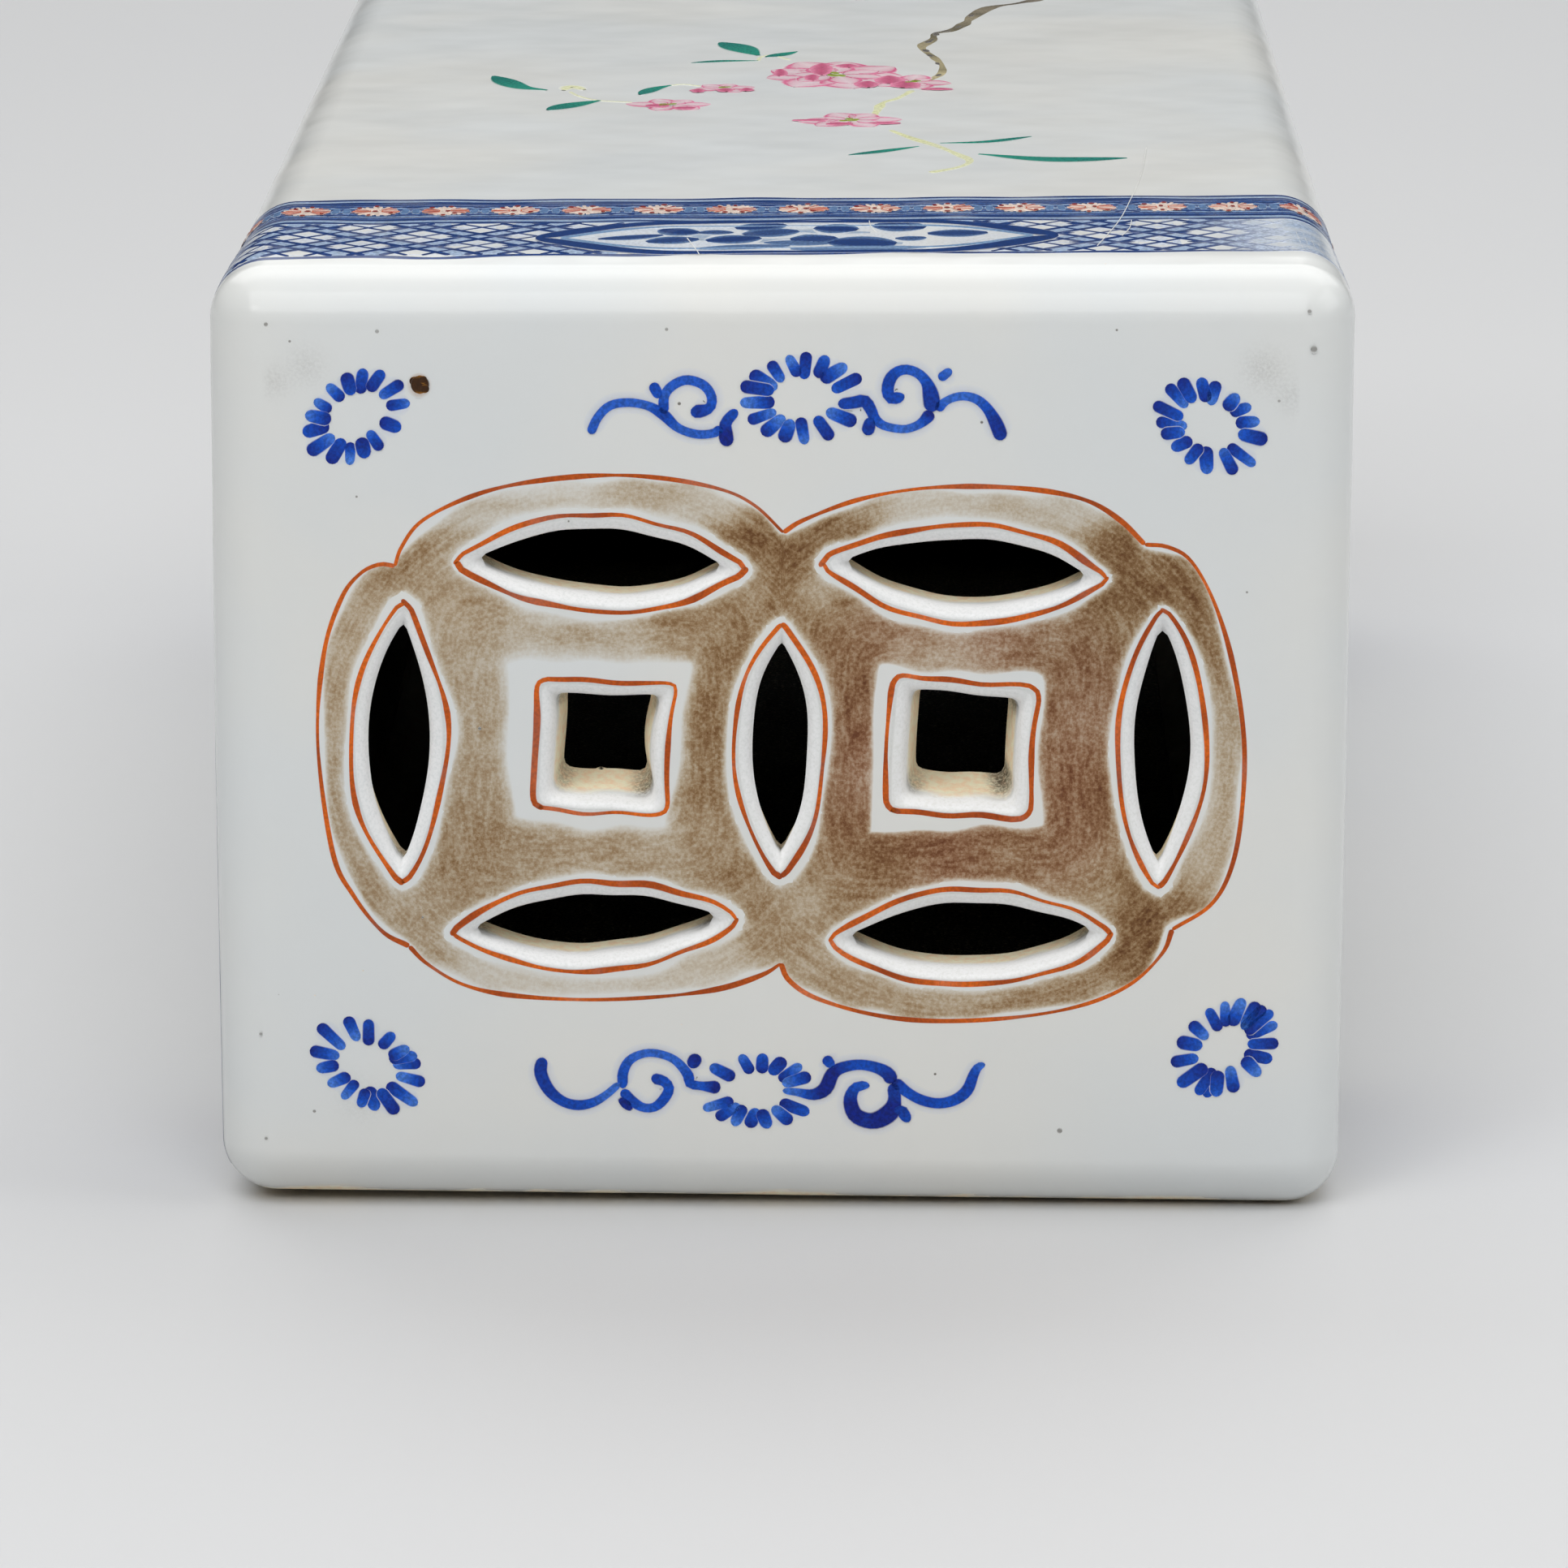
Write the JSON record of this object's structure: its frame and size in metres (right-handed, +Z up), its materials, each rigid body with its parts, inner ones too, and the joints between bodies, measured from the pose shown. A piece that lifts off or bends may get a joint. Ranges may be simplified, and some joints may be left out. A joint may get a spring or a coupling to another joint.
{
  "type": "ceramic pillow",
  "caption": "Hollow slab-built porcelain headrest: a long rounded box whose ends are pierced with linked cash coins, glazed white and painted in blue, iron red and famille rose.",
  "frame": {"origin": "middle of the base, on the surface that it stands on", "axes": "+X across the width, to the right as seen from the pictured end; +Y along the length, from the pictured end to the far end; +Z up to the headrest"},
  "size_m": [0.14, 0.33, 0.12],
  "materials": {
    "glazed_porcelain": "clear glaze over white porcelain, with painted enamels",
    "luting_slip": "fired slip, under the glaze outside and bare inside",
    "bare_clay": "unglazed biscuit"
  },
  "bodies": {
    "root": {"top_slab": "glazed_porcelain", "base_slab": "glazed_porcelain", "left_side_slab": "glazed_porcelain", "right_side_slab": "glazed_porcelain", "front_end_slab": "glazed_porcelain", "rear_end_slab": "glazed_porcelain", "top_left_lute": "luting_slip", "top_right_lute": "luting_slip", "base_left_lute": "luting_slip", "base_right_lute": "luting_slip", "front_end_top_lute": "luting_slip", "front_end_base_lute": "luting_slip", "front_end_left_lute": "luting_slip", "front_end_right_lute": "luting_slip", "rear_end_top_lute": "luting_slip", "rear_end_base_lute": "luting_slip", "rear_end_left_lute": "luting_slip", "rear_end_right_lute": "luting_slip", "top_left_coil": "bare_clay", "top_right_coil": "bare_clay", "base_left_coil": "bare_clay", "base_right_coil": "bare_clay", "front_end_top_coil": "bare_clay", "front_end_base_coil": "bare_clay", "front_end_left_coil": "bare_clay", "front_end_right_coil": "bare_clay"}
  },
  "joints": []
}
